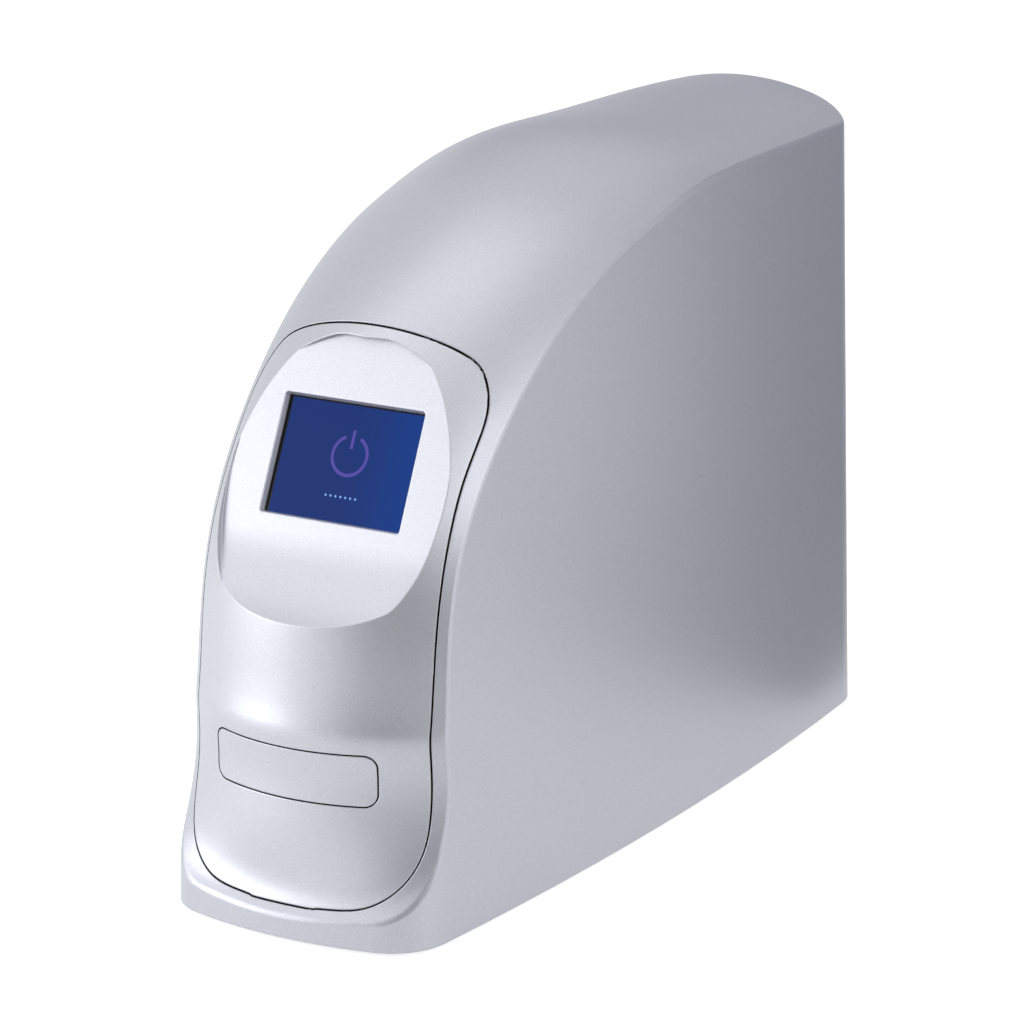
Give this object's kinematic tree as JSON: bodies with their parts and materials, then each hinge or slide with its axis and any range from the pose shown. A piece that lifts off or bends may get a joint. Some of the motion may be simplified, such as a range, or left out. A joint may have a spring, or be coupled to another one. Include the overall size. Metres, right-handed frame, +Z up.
{
  "type": "phosphor plate scanner",
  "caption": "Tall silver desktop scanner for phosphor image plates, with a crowned front, a tilted touch display and a motor-driven plate drawer.",
  "frame": {"origin": "on the table under the middle of the housing", "axes": "+X to the right of a viewer in front, -Y out of the front with the display and drawer, +Z up"},
  "size_m": [0.1658, 0.448, 0.3283],
  "materials": {
    "shell_paint": "satin",
    "cover_paint": "satin",
    "seal_rubber": "matte",
    "glass_face": "polished",
    "dark_plastic": "matte",
    "grey_plastic": "matte",
    "board_green": "satin",
    "sheet_steel": "brushed",
    "bare_aluminium": "satin",
    "polished_steel": "polished",
    "gear_plastic": "satin",
    "nut_bronze": "machined",
    "mirror_face": "polished",
    "lens_glass": "polished",
    "filter_glass": "polished",
    "light_guide": "polished",
    "screw_steel": "machined",
    "lit_panel": "polished"
  },
  "bodies": {
    "housing": {"housing_shell": "shell_paint", "front_cover": "cover_paint", "drawer_seal": "seal_rubber", "display_glass": "glass_face", "lcd_panel": "lit_panel", "display_bracket": "sheet_steel", "display_board": "board_green", "drawer_motor": "bare_aluminium", "motor_saddle": "dark_plastic", "left_rail": "sheet_steel", "right_rail": "sheet_steel", "base_plate": "sheet_steel", "feet": "seal_rubber", "side_frames": "sheet_steel", "bearing_blocks": "bare_aluminium", "guide_rods": "polished_steel", "scan_stepper": "dark_plastic", "stepper_bracket": "sheet_steel", "scan_bed": "dark_plastic", "optical_bench": "bare_aluminium", "light_collector": "light_guide", "blue_filter": "filter_glass", "light_tube": "dark_plastic", "laser_module": "bare_aluminium", "mirror_motor": "bare_aluminium", "scan_lens": "lens_glass", "lens_cradle": "bare_aluminium", "fold_mirror": "mirror_face", "fold_bracket": "bare_aluminium", "erase_bar": "sheet_steel", "erase_lamps": "lens_glass", "main_board": "board_green", "power_board": "board_green", "rear_panel": "sheet_steel", "fan_frame": "dark_plastic", "switch_frame": "dark_plastic", "interface_board": "board_green", "power_socket": "dark_plastic", "usb_socket": "sheet_steel", "network_socket": "sheet_steel", "board_components": "dark_plastic", "board_posts": "nut_bronze", "screws": "screw_steel"},
    "drawer": {"drawer_front": "cover_paint", "drawer_tray": "grey_plastic", "drawer_rack": "gear_plastic"},
    "carrier": {"plate_carrier": "dark_plastic"},
    "pinion": {"drawer_pinion": "gear_plastic", "pinion_shaft": "polished_steel"},
    "shuttle": {"scan_shuttle": "bare_aluminium", "shuttle_bushes": "nut_bronze", "drive_nut": "nut_bronze", "pull_magnet": "polished_steel"},
    "screw": {"leadscrew": "polished_steel", "screw_coupling": "bare_aluminium", "stepper_shaft": "polished_steel"},
    "mirror": {"scan_mirror": "mirror_face"},
    "rotor": {"fan_rotor": "dark_plastic"},
    "rocker": {"power_rocker": "dark_plastic"}
  },
  "joints": [
    {"name": "drawer_slide", "type": "slide", "parent": "housing", "child": "drawer", "axis": [0, -1, 0], "range_m": [0, 0.118]},
    {"name": "pinion_spin", "type": "hinge", "parent": "housing", "child": "pinion", "pos_m": [0.0335, -0.186, 0.05985], "axis": [1, 0, 0], "range_deg": [0, 752]},
    {"name": "shuttle_slide", "type": "slide", "parent": "housing", "child": "shuttle", "axis": [0, 1, 0], "range_m": [0, 0.11]},
    {"name": "carrier_slide", "type": "slide", "parent": "drawer", "child": "carrier", "axis": [0, 1, 0], "range_m": [0, 0.11]},
    {"name": "leadscrew_spin", "type": "hinge", "parent": "housing", "child": "screw", "pos_m": [0, -0.026, 0.097], "axis": [0, 1, 0], "range_deg": [0, 3961]},
    {"name": "mirror_swing", "type": "hinge", "parent": "housing", "child": "mirror", "pos_m": [0, 0.012, 0.168], "axis": [0, 0, 1], "range_deg": [-12, 12]},
    {"name": "fan_spin", "type": "hinge", "parent": "housing", "child": "rotor", "pos_m": [0, 0.212, 0.198], "axis": [0, 1, 0], "continuous": true},
    {"name": "rocker_tilt", "type": "hinge", "parent": "housing", "child": "rocker", "pos_m": [0, 0.2165, 0.068], "axis": [1, 0, 0], "range_deg": [-8, 8]}
  ],
  "couplings": [
    {"joint": "pinion_spin", "follows": "drawer_slide", "rad_per_m": 111.11},
    {"joint": "carrier_slide", "follows": "shuttle_slide", "ratio": 1},
    {"joint": "leadscrew_spin", "follows": "shuttle_slide", "rad_per_m": 628.32}
  ]
}
